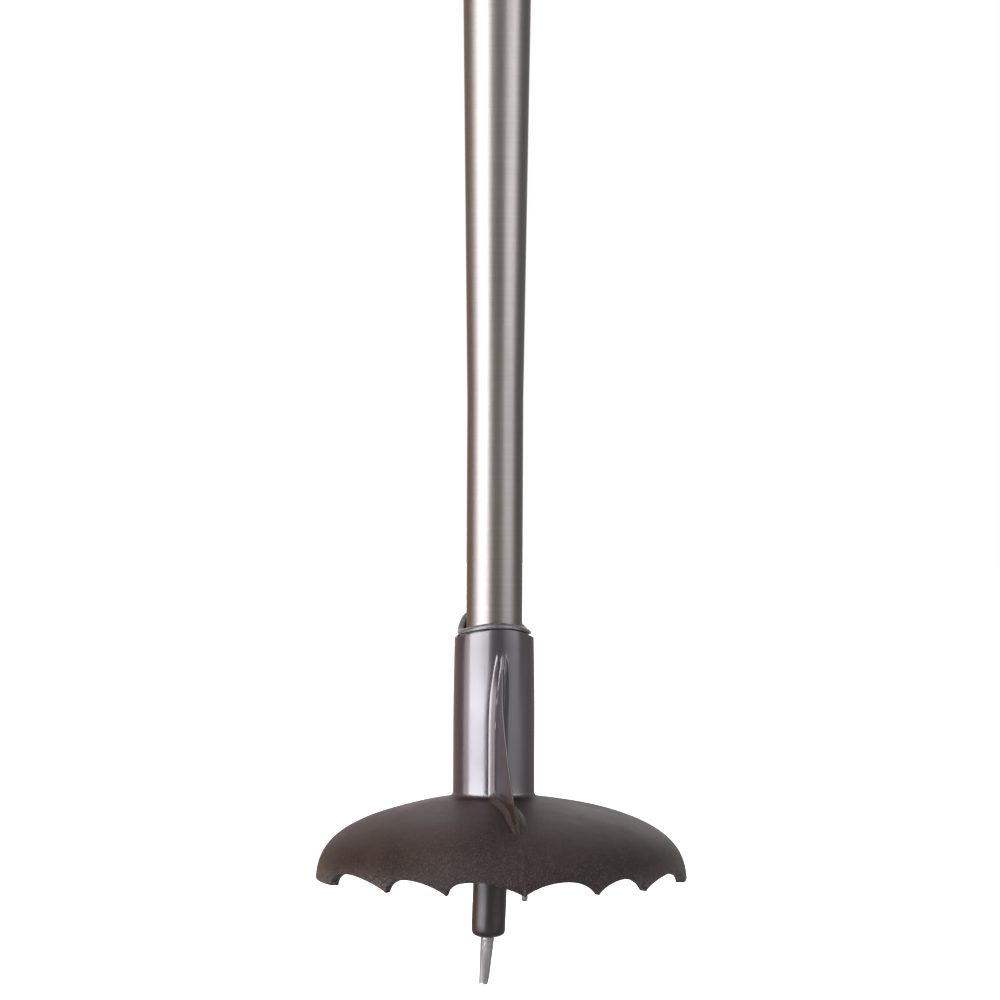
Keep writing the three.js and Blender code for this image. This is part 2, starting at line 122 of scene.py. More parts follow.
# ---- material nodes ----
class Shader:
    """A Principled material, built up node by node."""

    def __init__(self, name, color, roughness, metallic=0.0, specular=0.5):
        self.material = bpy.data.materials.new(name)
        self.material.use_nodes = True
        self.tree = self.material.node_tree
        self.principled = self.tree.nodes["Principled BSDF"]
        self.set("Base Color", (*color, 1))
        self.set("Roughness", roughness)
        self.set("Metallic", metallic)
        self.set("Specular IOR Level", specular)

    def set(self, socket, value):
        self.principled.inputs[socket].default_value = value

    def node(self, kind, **inputs):
        made = self.tree.nodes.new(kind)
        for key, value in inputs.items():
            if key in made.inputs:
                self.feed(made.inputs[key], value)
            else:
                setattr(made, key, value)
        return made

    def feed(self, socket, value):
        if isinstance(value, bpy.types.NodeSocket):
            self.tree.links.new(value, socket)
        else:
            socket.default_value = value

    def place(self, stretch=(1, 1, 1)):
        """Object coordinates, stretched per axis."""
        coordinates = self.node("ShaderNodeTexCoord").outputs["Object"]
        mapping = self.node("ShaderNodeMapping", Vector=coordinates, Scale=stretch)
        return mapping.outputs["Vector"]

    def height(self):
        split = self.node("ShaderNodeSeparateXYZ", Vector=self.place())
        return split.outputs["Z"]

    def noise(self, scale, detail=2.0, stretch=(1, 1, 1), roughness=0.5):
        made = self.node("ShaderNodeTexNoise", Vector=self.place(stretch), Scale=scale, Detail=detail)
        made.inputs["Roughness"].default_value = roughness
        return made.outputs["Fac"]

    def ramp(self, value, low, high, to_low=0.0, to_high=1.0):
        """Maps a value from one range to another, smoothly and clamped."""
        made = self.node("ShaderNodeMapRange", Value=value)
        made.interpolation_type = "SMOOTHSTEP"
        made.inputs["From Min"].default_value = low
        made.inputs["From Max"].default_value = high
        made.inputs["To Min"].default_value = to_low
        made.inputs["To Max"].default_value = to_high
        return made.outputs["Result"]

    def math(self, operation, a, b):
        made = self.node("ShaderNodeMath", operation=operation)
        self.feed(made.inputs[0], a)
        self.feed(made.inputs[1], b)
        return made.outputs["Value"]

    def blend(self, factor, low, high):
        """A colour between two colours."""
        made = self.node("ShaderNodeMix", data_type="RGBA")
        self.feed(made.inputs["Factor"], factor)
        self.feed(made.inputs["A"], low if isinstance(low, bpy.types.NodeSocket) else (*low, 1))
        self.feed(made.inputs["B"], high if isinstance(high, bpy.types.NodeSocket) else (*high, 1))
        return made.outputs["Result"]

    def colour(self, value):
        self.feed(self.principled.inputs["Base Color"], value)

    def roughen(self, value):
        self.feed(self.principled.inputs["Roughness"], value)

    def bump(self, value, depth, strength=1.0):
        """Adds relief of a depth in metres, over any relief that is there."""
        made = self.node("ShaderNodeBump", Height=value, Distance=depth, Strength=strength)
        old = self.principled.inputs["Normal"].links
        if old:
            self.tree.links.new(old[0].from_socket, made.inputs["Normal"])
        self.tree.links.new(made.outputs["Normal"], self.principled.inputs["Normal"])


def finish_piece(piece, shader, body, slot, *replaced):
    piece.data.materials.append(shader.material)
    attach(piece, body)
    if replaced:
        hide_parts(*replaced)


# ---- dimensions shared with the CAD part, mm ----
SHAFT_TIP_R, SHAFT_R, SHAFT_WALL = 6.0, 8.0, 1.2
CONE_BOTTOM, CONE_TOP = 125.0, 263.0
SHAFT_BOTTOM, SHAFT_TOP = 45.0, 1012.0
NOSE_R, NOSE_BOTTOM, NOSE_SET = 3.65, 10.25, -0.97
COLLAR_R, LIP_R, COLLAR_TOP = 7.45, 7.9, 76.85
LIP_WAVE, BACK_LOBE, BACK_LOBE_LEAN = 0.75, 2.3, 0.475
PIN_ROOT_R, PIN_END_R, PIN_ROOT_TOP, PIN_SET, PIN_LEAN = 1.5, 1.02, 30.0, -1.15, -0.8
NOTCH_R, NOTCH_DEPTH, NOTCH_SET = 0.45, 0.35, -0.5
BASKET_R, DOME_BASE, DOME_HEIGHT, DOME_FLATNESS, DOME_SHOULDER = 39.86, 18.0, 23.02, 1.5, 3.6
RIM_BOTTOM, RIM_CUT, RIM_BAND = 22.7, 2.9, 6.5
RIM_STOPS = np.array([0, 23.5, 42.4, 71.5, 108.5, 135.9, 156.4, 180])  # the middle stretch has no arch
ARCH_LEANS, ARCH_FULLNESS = (0.868, 0.642), 0.8
DOME_WALL, DOME_SET = 2.0, 1.75
SET_FROM, SET_FULL, SET_FADE = 8.8, 23.5, 4.0
FIN_LEAN, FIN_LEAN_FROM = 0.078, 13.5
SLEEVE_R, SLEEVE_TOP_R, SLEEVE_WAVE = 8.73, 8.5, 0.95
SLEEVE_BORE_R, HUB_BORE_R, HUB_BOTTOM = 7.75, 4.9, 30.0
FIT_GAP = 0.3

# ---- not in the CAD part, or different there, mm ----
SLEEVE_TOP = 75.3  # 0.3 lower than in the CAD part
FIN_HEAD_ASIDE = 0.6
PARTING_LINE = 0.1  # height of the ridge down the dome's front


# ---- shaft ----
def shaft_material():
    shader = Shader("anodised_aluminium", (0.115, 0.108, 0.104), 0.36, metallic=1.0)
    grain = shader.noise(900, 3, stretch=(1, 1, 0.03))
    speckle = shader.noise(2600, 2)
    mixed = shader.math("ADD", shader.math("MULTIPLY", grain, 0.6), shader.math("MULTIPLY", speckle, 0.4))
    shader.roughen(shader.ramp(mixed, 0.3, 0.7, 0.32, 0.4))
    cloud = shader.noise(35, 3, stretch=(1, 1, 0.15))
    rings = shader.noise(420, 2, stretch=(0.15, 0.15, 6))  # faint rings round the tube
    mottled = shader.math("ADD", shader.math("MULTIPLY", cloud, 0.75), shader.math("MULTIPLY", rings, 0.25))
    shader.colour(shader.blend(shader.ramp(mottled, 0.35, 0.65), (0.1095, 0.1045, 0.101), (0.1245, 0.1195, 0.116)))
    shader.bump(rings, 0.000001)
    shader.bump(speckle, 0.000006)
    return shader


def make_shaft():
    cone_rows = [(SHAFT_TIP_R + (SHAFT_R - SHAFT_TIP_R) * t, CONE_BOTTOM + (CONE_TOP - CONE_BOTTOM) * t)
                 for t in np.linspace(0, 1, 24)]
    outer = [(SHAFT_TIP_R, SHAFT_BOTTOM), *cone_rows, (SHAFT_R, SHAFT_TOP)]
    inner = [(r - SHAFT_WALL, z) for r, z in reversed(outer)]
    tube = lathe("shaft_surface", outer + inner, 160, closed=True, sharp_degrees=30)
    finish_piece(tube, shaft_material(), "pole", "shaft_aluminium", "shaft_tube")


# ---- ferrule and pin ----
def nose_shift(z):
    return NOSE_SET * (1 - smoothstep(z, NOSE_BOTTOM, 42))


def pin_shift(z):
    return PIN_SET + np.where(z < NOSE_BOTTOM, PIN_LEAN * (1 - z / NOSE_BOTTOM), 0)


def ferrule_material():
    shader = Shader("ferrule_nylon", (0.006, 0.005, 0.005), 0.3, specular=0.42)
    worn = shader.noise(500, 4)
    shader.roughen(shader.ramp(worn, 0.35, 0.7, 0.29, 0.4))
    tone = shader.blend(shader.ramp(shader.noise(120, 3), 0.4, 0.7), (0.0030, 0.0024, 0.0026), (0.006, 0.0045, 0.0045))
    # The lip's top band is lightened towards white in noisy patches: partly scuffs, partly a painted highlight of the
    # light its bevelled top catches.
    scuffed = shader.ramp(shader.noise(900, 3), 0.3, 0.6, 0.014, 0.032)
    lip_scuff_and_highlight = shader.ramp(shader.height(), 74.6 * MM, 75.0 * MM)
    shader.colour(shader.blend(shader.math("MULTIPLY", lip_scuff_and_highlight, scuffed), tone, (1.0, 1.0, 1.05)))
    shader.set("Specular Tint", (1.0, 0.95, 1.0, 1))
    shader.bump(shader.noise(900, 3), 0.00001)
    return shader


def make_ferrule():
    socket_r = SHAFT_TIP_R + FIT_GAP
    path = rounded([
        (PIN_ROOT_R + 0.08, PIN_ROOT_TOP, 0), (PIN_ROOT_R + 0.08, NOSE_BOTTOM + 0.15, 0.15),
        (NOSE_R - 1.5, NOSE_BOTTOM - 0.1, 0.6), (NOSE_R - 0.1, NOSE_BOTTOM + 0.55, 1.2),
        (NOSE_R, NOSE_BOTTOM + 2.2, 0.8), (NOSE_R, 27, 2),
        (COLLAR_R - 3, 33, 2), (COLLAR_R, 43, 2), (COLLAR_R, 72.5, 0.8), (LIP_R - 0.5, 73.6, 0.2),
        (LIP_R - 0.5, 75.65, 0.1), (LIP_R, 75.75, 0.1),
        (LIP_R, COLLAR_TOP - 0.6, 0.5), (LIP_R - 0.5, COLLAR_TOP, 0.4), (socket_r + 0.2, COLLAR_TOP, 0.25),
        (socket_r, COLLAR_TOP - 0.8, 0.3), (socket_r, SHAFT_BOTTOM - FIT_GAP, 0),
    ])

    def move(p):
        angle = np.arctan2(p[:, 1], p[:, 0])
        lobe = BACK_LOBE * smoothstep(np.sin(angle), 0.05, 0.8) * (1 - BACK_LOBE_LEAN * np.cos(angle))
        wave = lobe - LIP_WAVE * np.cos(2 * angle)
        outside = np.hypot(p[:, 0], p[:, 1]) > PIN_ROOT_R + 0.2
        p[:, 2] += wave * smoothstep(p[:, 2], 74.4, COLLAR_TOP - 0.9)
        p[:, 0] += np.where(outside, nose_shift(p[:, 2]), pin_shift(p[:, 2]))
        return p

    path = np.vstack([[[0, PIN_ROOT_TOP]], path, [[0, SHAFT_BOTTOM - 0.3]]])
    body = lathe("ferrule_moulding", path, 160, move)
    finish_piece(body, ferrule_material(), "pole", "ferrule_plastic", "ferrule")


def pin_material():
    shader = Shader("ground_steel", (0.17, 0.17, 0.172), 0.75, metallic=1.0)
    lines = shader.noise(1500, 4, stretch=(1, 1, 0.12))
    spots = shader.noise(1800, 2)
    shader.colour(shader.blend(shader.ramp(lines, 0.3, 0.7), (0.165, 0.168, 0.168), (0.235, 0.238, 0.24)))
    rubbed = shader.ramp(shader.height(), 7.2 * MM, 7.6 * MM)
    bright = shader.math("MULTIPLY", rubbed, shader.ramp(spots, 0.5, 0.62))
    shader.roughen(shader.ramp(bright, 0, 1, 0.75, 0.45))
    shader.bump(lines, 0.00002)
    return shader


def make_pin():
    """The pin's end is ground off, with a small notch across it and its edge worn round on one side."""
    flat = [(r, 0.0) for r in np.linspace(0, PIN_END_R - 0.04, 18)]
    path = flat + [(PIN_END_R, 0.05)]
    path += [(PIN_END_R + (PIN_ROOT_R - PIN_END_R) * min(1, z / NOSE_BOTTOM), z)
             for z in np.linspace(0.5, NOSE_BOTTOM, 24)]
    path += [(PIN_ROOT_R, PIN_ROOT_TOP - 0.3), (0, PIN_ROOT_TOP - 0.3)]

    def move(p):
        across = p[:, 0] - NOTCH_SET
        notch = np.sqrt(np.clip(NOTCH_R ** 2 - across ** 2, 0, None)) - (NOTCH_R - NOTCH_DEPTH)
        worn = 0.9 * smoothstep(p[:, 0], 0.45, 1.15) ** 1.5
        rise = np.maximum(notch, worn)
        p[:, 2] += np.clip(rise, 0, None) * (1 - smoothstep(p[:, 2], 0, 2.5))
        p[:, 0] += pin_shift(p[:, 2])
        return p

    pin = lathe("pin_ground", path, 72, move, sharp_degrees=30)
    finish_piece(pin, pin_material(), "pole", "pin_steel", "tip_pin")


# ---- basket ----
def dome_z(r):
    return DOME_BASE + DOME_HEIGHT * (1 - (np.asarray(r) / BASKET_R) ** DOME_FLATNESS) ** (1 / DOME_SHOULDER)


def dome_r(z):
    h = np.clip((np.asarray(z) - DOME_BASE) / DOME_HEIGHT, 0, 1)
    return BASKET_R * (1 - h ** DOME_SHOULDER) ** (1 / DOME_FLATNESS)


def arch_height(degrees):
    """Height of the rim's arches at an angle from the front fin."""
    angle = np.round(np.asarray(degrees) % 180, 4)
    k = np.clip(np.searchsorted(RIM_STOPS, angle, side="right") - 1, 0, len(RIM_STOPS) - 2)
    share = (angle - RIM_STOPS[k]) / (RIM_STOPS[k + 1] - RIM_STOPS[k])
    plain = (len(RIM_STOPS) - 2) // 2
    u = np.where(k < plain, np.clip(1 - share, 0, 1) ** ARCH_LEANS[0], share ** ARCH_LEANS[1])
    return np.where(k == plain, 0, RIM_CUT * (4 * u * (1 - u)) ** ARCH_FULLNESS)


# A fin's ridge, as (distance from the axis, height), from the sleeve down to the dome.
FIN_RIDGE = np.array([(8.7, 70.2), (11.3, 65.8), (16.2, 55.9), (20.2, 49.0), (23.9, 44.1), (27.6, 39.4), (30.8, 34.8)])
FIN_FLANK, FIN_EDGE = 0.95, 2.1  # half width of the fin at its root, without and with the root's fillet
FIN_FILLET = 1.3  # the fillet's height on the fin's flank
FIN_CROWN = 0.16  # radius of the round ridge
FIN_COLUMNS = np.concatenate([np.linspace(0, FIN_CROWN, 10), np.linspace(0.2, FIN_FLANK, 11),
                              np.linspace(1.0, FIN_EDGE, 18)])


def fin_lift(x, full):
    """Height of a fin over the surface it stands on, at distances x from its middle plane."""
    crown = FIN_CROWN * min(1, full)
    drop = crown - crown * np.sqrt(np.clip(1 - (x / FIN_CROWN) ** 2, 0, 1))
    flank = (full - crown) * np.clip((FIN_FLANK - x) / (FIN_FLANK - FIN_CROWN), 0, 1)
    core = np.where(x < FIN_CROWN, full - drop, flank)
    reach = (FIN_EDGE - FIN_FLANK) * min(1, full / 4) ** 0.6  # the fillet narrows to nothing at the fin's ends
    inward = np.clip(1 - (x - FIN_FLANK) / max(reach, 0.01), 0, 1)
    return np.maximum(core, min(FIN_FILLET, 0.75 * full) * inward ** 1.35)


def along(points, shares):
    """Places on a polyline at shares of its length."""
    points = np.asarray(points, float)
    steps = np.concatenate([[0], np.cumsum(np.linalg.norm(np.diff(points, axis=0), axis=1))])
    return np.stack([np.interp(np.asarray(shares) * steps[-1], steps, points[:, k]) for k in (0, 1)], axis=1)


def basket_profile():
    """The wall's closed outline, and how far along the fin's ridge each of its points is (-1 off the fin)."""
    band = RIM_BOTTOM + RIM_BAND
    rim = [(dome_r(z), z) for z in np.linspace(RIM_BOTTOM, band, 16)]
    rim[0] = (rim[0][0] - 0.25, RIM_BOTTOM)
    rim.insert(1, (rim[1][0] - 0.05, RIM_BOTTOM + 0.12))
    dome = [(r, dome_z(r)) for r in np.linspace(38.0, SLEEVE_R + 2.2, 44) if dome_z(r) > band + 0.1]
    corner = rounded([(SLEEVE_R + 2.2, dome_z(SLEEVE_R + 2.2), 0), (SLEEVE_R + 0.03, dome_z(SLEEVE_R + 0.4) + 0.1, 1.6),
                      (SLEEVE_R, 43.5, 0)], steps=8)[1:]
    sleeve = [(SLEEVE_R, z) for z in np.linspace(44.5, 56, 12)]
    sleeve += [(SLEEVE_R - 0.21 * ((z - 56) / 16) ** 1.5, z) for z in np.linspace(57, 72, 16)]
    top = rounded([(SLEEVE_TOP_R, 72.6, 0), (SLEEVE_TOP_R - 0.03, SLEEVE_TOP, 0.3), (LIP_R + 0.12, SLEEVE_TOP, 0.12),
                   (LIP_R + 0.08, 74.0, 0.3), (SLEEVE_BORE_R, 71.5, 0)], steps=5)
    bore = [(SLEEVE_BORE_R, z) for z in (66, 58, 50, 43)]
    hub = rounded([(SLEEVE_BORE_R, 42.5, 0), (HUB_BORE_R, 32.8, 1), (HUB_BORE_R, HUB_BOTTOM, 0.3),
                   (HUB_BORE_R + 1.6, HUB_BOTTOM, 0.4), (HUB_BORE_R + 3.4, 36.6, 2.5),
                   (15, dome_z(15.6) - DOME_WALL, 0)],
                  steps=6)
    under = [(r, dome_z(r + 0.6) - DOME_WALL) for r in np.linspace(17, 34, 20)]
    inside = [(dome_r(z + 0.8) - DOME_WALL * 0.95, z) for z in np.linspace(band - 1.5, RIM_BOTTOM, 12)]
    outer = [*rim, *dome, *corner, *sleeve]
    profile = np.array([*outer, *top, *bore, *hub, *under, *inside])
    # Points of the outer wall between the fin's foot and its head lie on the fin.
    foot, head = FIN_RIDGE[-1], FIN_RIDGE[0]
    on_fin = [i for i, (r, z) in enumerate(outer) if r < foot[0] and z < head[1]]
    walked = np.concatenate([[0], np.cumsum(np.linalg.norm(np.diff(profile[on_fin], axis=0), axis=1))])
    share = np.full(len(profile), -1.0)
    share[on_fin] = walked / walked[-1]
    return profile, share


def make_basket():
    profile, share = basket_profile()
    quarter = 150
    # One quarter turn of columns, from the front fin's middle to the side.
    rim_edge = math.degrees(math.asin(FIN_EDGE / dome_r(RIM_BOTTOM)))
    teeth = np.minimum(RIM_STOPS, 180 - RIM_STOPS)
    at_teeth = (teeth[teeth > rim_edge] - rim_edge) / (90 - rim_edge)
    spread = np.unique(np.concatenate([np.linspace(0, 1, quarter)[1:], at_teeth]))
    ridge = along(FIN_RIDGE[::-1], np.clip(share, 0, 1))
    rows = []
    for (r, z), on, (ridge_r, ridge_z) in zip(profile, share, ridge):
        x = FIN_COLUMNS * min(1, 0.62 * r / FIN_EDGE)
        near = np.arcsin(x / r)
        far = near[-1] + (math.pi / 2 - near[-1]) * spread
        angle = np.concatenate([near, far])
        full = math.hypot(ridge_r - r, ridge_z - z)
        lift = np.zeros(len(angle))
        if on >= 0 and full > 0:
            lift[:len(x)] = fin_lift(x, full) / full
        radius = np.full(len(angle), r)
        side = radius * np.sin(angle)
        out = radius * np.cos(angle)
        out = out + lift * (ridge_r - r)
        up = z + lift * (ridge_z - z)
        first = np.stack([side, out, up], axis=1)
        mirrored = first[::-1][1:] * [1, -1, 1]
        half = np.vstack([first, mirrored])
        other = half[::-1][1:-1] * [-1, 1, 1]
        rows.append(np.vstack([half, other]))
    points = np.array(rows)
    count_rows, columns = points.shape[:2]
    p = points.reshape(-1, 3)
    p[:, 1] *= -1  # the front fin points along -Y
    angle = np.degrees(np.arctan2(p[:, 0], -p[:, 1]))
    radius = np.hypot(p[:, 0], p[:, 1])
    edge = (p[:, 2] < RIM_BOTTOM + RIM_BAND) & (radius > 30)
    raised = p[:, 2] + arch_height(angle) * (1 - (p[:, 2] - RIM_BOTTOM) / RIM_BAND)
    narrowed = dome_r(raised) / dome_r(p[:, 2])
    p[:, :2] *= np.where(edge, narrowed, 1)[:, None]
    p[:, 2] = np.where(edge, raised, p[:, 2])
    top = (p[:, 2] > 72) & (radius < 9)
    wave = SLEEVE_WAVE * np.cos(2 * np.radians(angle)) * smoothstep(p[:, 2], 72, SLEEVE_TOP - 0.4)
    p[:, 2] += np.where(top, wave, 0)
    # A fine ridge runs down the dome's front.
    outside = (radius > 29) & (p[:, 2] > dome_z(np.minimum(radius, BASKET_R - 0.1)) - 0.8)
    parting = np.where(outside, PARTING_LINE * np.exp(-(angle / 0.7) ** 2), 0)
    p[:, :2] *= (1 + parting / np.maximum(radius, 1))[:, None]
    above = p[:, 2] - dome_z(np.minimum(radius, BASKET_R - 0.1))
    # The heads of both fins sit a little towards +X.
    head = (1 - smoothstep(np.abs(p[:, 0]), 3, 6)) * (1 - smoothstep(radius, 10.5, 19)) * (radius > 8.2)
    p[:, 0] += FIN_HEAD_ASIDE * head * smoothstep(p[:, 2], 55, 70)
    up_the_fin = smoothstep(above, 0, SET_FADE)
    p[:, 0] += DOME_SET * smoothstep(radius, SET_FROM, SET_FULL) * (1 - up_the_fin)
    p[:, 0] += FIN_LEAN * np.maximum(radius - FIN_LEAN_FROM, 0) * up_the_fin
    faces = grid_faces(count_rows, columns, wrap_rows=True)
    faces = [face[::-1] for face in faces]
    piece = make_object("basket_moulding", p * MM, faces, 40)
    finish_piece(piece, basket_material(), "basket", "basket_plastic", "basket")


def make_gate_nib():
    path = rounded([(0, -0.75, 0), (0.45, -0.75, 0.3), (0.7, -0.1, 0.5), (0.62, 0.6, 0.3), (0, 0.9, 0)])
    nib = lathe("gate_nib", path, 32, lambda p: p + [DOME_SET, -(dome_r(RIM_BOTTOM) - 0.75), RIM_BOTTOM])
    finish_piece(nib, plastic_material("basket_nib", (0.02, 0.018, 0.018), (0.06, 0.055, 0.055), 0.5), "basket",
                 "basket_plastic")


def basket_material():
    shader = Shader("basket_moulded", (0.006, 0.005, 0.005), 0.4, specular=0.8)
    on_sleeve = shader.ramp(shader.height(), 40.4 * MM, 41.4 * MM)
    on_dome = shader.math("SUBTRACT", 1.0, on_sleeve)
    cloud = shader.noise(70, 4)
    stipple = shader.noise(3200, 3, roughness=0.7)
    split = shader.node("ShaderNodeSeparateXYZ", Vector=shader.place())
    across = split.outputs["X"]
    at_side = shader.ramp(shader.math("ABSOLUTE", across, 0), 22 * MM, 38 * MM, 1.0, -0.4)
    low_dome = shader.math("MULTIPLY", shader.ramp(shader.height(), 34 * MM, 25 * MM), at_side)
    from_axis = shader.node("ShaderNodeVectorMath", operation="LENGTH")
    shader.feed(from_axis.inputs[0], shader.place((1, 1, 0)))
    off_sleeve = shader.ramp(from_axis.outputs["Value"], 9.4 * MM, 10.4 * MM)
    on_ridge = shader.math("MULTIPLY", on_sleeve, off_sleeve)
    at_top = shader.ramp(shader.height(), 58 * MM, 75 * MM, 0, 0.3)
    shiny = shader.math("SUBTRACT", on_sleeve, shader.math("MAXIMUM", at_top, shader.math("MULTIPLY", on_ridge, 0.55)))
    # The sleeve is smoother and glossier than the dome, and the dome is dullest near its edge.
    gloss = shader.ramp(shader.math("SUBTRACT", shiny, shader.math("MULTIPLY", low_dome, 0.17)), -0.17, 1, 0.1, 0.8)
    gloss = shader.math("MULTIPLY", gloss, shader.ramp(across, -26 * MM, -12 * MM, 0.5, 1.0))
    shader.feed(shader.principled.inputs["Specular IOR Level"], gloss)
    shader.feed(shader.principled.inputs["Specular Tint"], shader.blend(shiny, (1.0, 0.94, 0.92), (0.98, 0.95, 1.0)))
    tone = shader.blend(shader.ramp(cloud, 0.3, 0.7), (0.0042, 0.0018, 0.0014), (0.0115, 0.0062, 0.005))
    # Painted light: the dome's tone turns grey towards its right and stays warm on its left, following the warm light
    # from the left.
    tone = shader.blend(shader.ramp(across, -6 * MM, 14 * MM, 0, 0.75), tone, (0.0062, 0.005, 0.005))
    # Painted shade: the dome is darkened low down, except at its sides.
    tone = shader.blend(shader.math("MULTIPLY", low_dome, 0.6), tone, (0.0015, 0.001, 0.001))
    root = shader.ramp(shader.height(), 36 * MM, 40 * MM)
    tone = shader.blend(root, tone, (0.0085, 0.0035, 0.0025))
    tone = shader.blend(on_sleeve, tone, (0.0035, 0.0033, 0.0065))
    speckles = shader.math("MULTIPLY", on_dome, shader.ramp(stipple, 0.5, 0.64))
    speckled = shader.blend(speckles, tone, (0.019, 0.014, 0.0125))
    # The low dome has a fine pale grain, most of all at the sides.
    low = shader.ramp(shader.height(), 29 * MM, 21 * MM)
    left = shader.ramp(across, -10 * MM, -26 * MM, 0.03, 1.0)
    right = shader.ramp(across, 8 * MM, 34 * MM)
    grain = shader.ramp(shader.noise(2400, 4, roughness=0.75), 0.4, 0.64)
    rubbed = shader.math("MULTIPLY", shader.math("MULTIPLY", low, shader.math("MAXIMUM", left, right)), grain)
    scuffed = shader.blend(shader.math("MULTIPLY", rubbed, 0.6), speckled, (0.085, 0.077, 0.075))
    # The teeth's corners are pale: partly worn plastic, partly a painted highlight along the steep flanks' edges.
    sharpness = shader.node("ShaderNodeNewGeometry").outputs["Pointiness"]
    corners = shader.ramp(sharpness, 0.53, 0.6)
    worn = shader.math("MULTIPLY", corners, shader.ramp(shader.noise(600, 3), 0.35, 0.6, 0.2, 0.7))
    shader.colour(shader.blend(shader.math("MULTIPLY", worn, low), scuffed, (0.14, 0.13, 0.13)))
    rough_dome = shader.ramp(cloud, 0.3, 0.7, 0.39, 0.48)
    # The sleeve's left half is smoother than its right half and the fins' ridges.
    dulled = shader.math("MAXIMUM", shader.ramp(across, -0.5 * MM, 3 * MM), on_ridge)
    smoother = shader.ramp(dulled, 0, 1, 0.21, 0.0)
    rough = shader.math("SUBTRACT", rough_dome, shader.math("MULTIPLY", on_sleeve, smoother))
    shader.roughen(shader.math("ADD", rough, shader.math("MULTIPLY", rubbed, 0.25)))
    shader.bump(shader.math("MULTIPLY", stipple, on_dome), 0.0002)
    # Low waves on the dome, and fine marks across the sleeve.
    waves = shader.noise(260, 3, stretch=(1, 1, 2.5))
    shader.bump(shader.math("MULTIPLY", waves, on_dome), 0.00014)
    shader.bump(rubbed, 0.00006)
    scratches = shader.noise(500, 3, stretch=(0.25, 0.25, 5))
    shader.bump(shader.math("MULTIPLY", scratches, on_sleeve), 0.000006)
    return shader


# ---- grip ----
GRIP_BOTTOM, GRIP_TOP, POLE_LENGTH, GRIP_BORE_R = 902.0, 1036.0, 1050.0, 10.6
# height, half width, half depth at the front and at the back
GRIP_STATIONS = np.array([
    (902, 15.5, 17, 17), (905, 18.5, 21.5, 20.5), (909, 18.8, 22, 21), (915, 15.2, 17, 17), (925, 14, 15.2, 16),
    (938, 14.6, 17.8, 16.8), (948, 14, 15.8, 17), (960, 14.8, 18.2, 17.4), (970, 14.2, 16, 17.4),
    (982, 15, 18.6, 17.6), (992, 14.6, 16.6, 17.8), (1004, 16, 19, 19), (1014, 18.4, 23.5, 21.5),
    (1024, 20, 27, 22.5), (1032, 20, 27.5, 22), (1036, 19, 26.2, 21),
], float)


def curved(x, xs, values):
    """A smooth curve through values at xs, without overshoot beyond a few hundredths."""
    tangents = np.gradient(values, xs)
    k = np.clip(np.searchsorted(xs, x, side="right") - 1, 0, len(xs) - 2)
    step = xs[k + 1] - xs[k]
    t = np.clip((x - xs[k]) / step, 0, 1)
    return ((2 * t ** 3 - 3 * t ** 2 + 1) * values[k] + (t ** 3 - 2 * t ** 2 + t) * step * tangents[k]
            + (3 * t ** 2 - 2 * t ** 3) * values[k + 1] + (t ** 3 - t ** 2) * step * tangents[k + 1])


def grip_move(p):
    """Turns the radius of a lathed ring, from 1 at the bore to 2 at the surface, into a place on the grip."""
    angle = np.arctan2(p[:, 1], p[:, 0])
    share = np.hypot(p[:, 0], p[:, 1]) - 1
    side, front, back = (curved(p[:, 2], GRIP_STATIONS[:, 0], GRIP_STATIONS[:, k]) for k in (1, 2, 3))
    square = (np.abs(np.cos(angle)) ** 2.4 + np.abs(np.sin(angle)) ** 2.4) ** (-1 / 2.4)
    outer_x = square * np.cos(angle) * side
    outer_y = square * np.sin(angle) * np.where(np.sin(angle) > 0, back, front)
    # Shallow finger ribs across the front, and a groove above the flange.
    rib = 0.3 * (0.5 + 0.5 * np.cos(2 * math.pi * p[:, 2] / 3.1)) ** 2
    where = smoothstep(-np.sin(angle), 0.1, 0.5) * smoothstep(p[:, 2], 924, 930) * (1 - smoothstep(p[:, 2], 996, 1002))
    groove = 0.5 * np.exp(-((p[:, 2] - 917.5) / 0.8) ** 2)
    inward = 1 - (rib * where + groove) / np.hypot(outer_x, outer_y)
    p[:, 0] = GRIP_BORE_R * np.cos(angle) * (1 - share) + outer_x * inward * share
    p[:, 1] = GRIP_BORE_R * np.sin(angle) * (1 - share) + outer_y * inward * share
    return p


def rubber_material():
    shader = Shader("grip_rubber", (0.012, 0.011, 0.012), 0.62)
    fine = shader.noise(1300, 3)
    dust = shader.noise(90, 4)
    shader.colour(shader.blend(shader.ramp(dust, 0.4, 0.75), (0.009, 0.009, 0.0095), (0.020, 0.019, 0.0185)))
    shader.roughen(shader.ramp(dust, 0.3, 0.7, 0.55, 0.72))
    shader.bump(fine, 0.00008)
    pebble = shader.node("ShaderNodeTexVoronoi", Vector=shader.place(), Scale=620.0).outputs["Distance"]
    shader.bump(shader.ramp(pebble, 0.1, 0.6), 0.00012, 0.6)
    return shader


def plastic_material(name, low, high, roughness):
    shader = Shader(name, low, roughness)
    cloud = shader.noise(160, 4)
    shader.colour(shader.blend(shader.ramp(cloud, 0.35, 0.7), low, high))
    shader.roughen(shader.ramp(shader.noise(420, 3), 0.3, 0.7, roughness - 0.06, roughness + 0.08))
    shader.bump(shader.noise(1900, 3), 0.00003)
    return shader


def steel_material():
    shader = Shader("plated_steel", (0.46, 0.46, 0.45), 0.3, metallic=1.0)
    shader.roughen(shader.ramp(shader.noise(700, 3), 0.3, 0.7, 0.22, 0.4))
    shader.bump(shader.noise(1500, 3), 0.00001)
    return shader


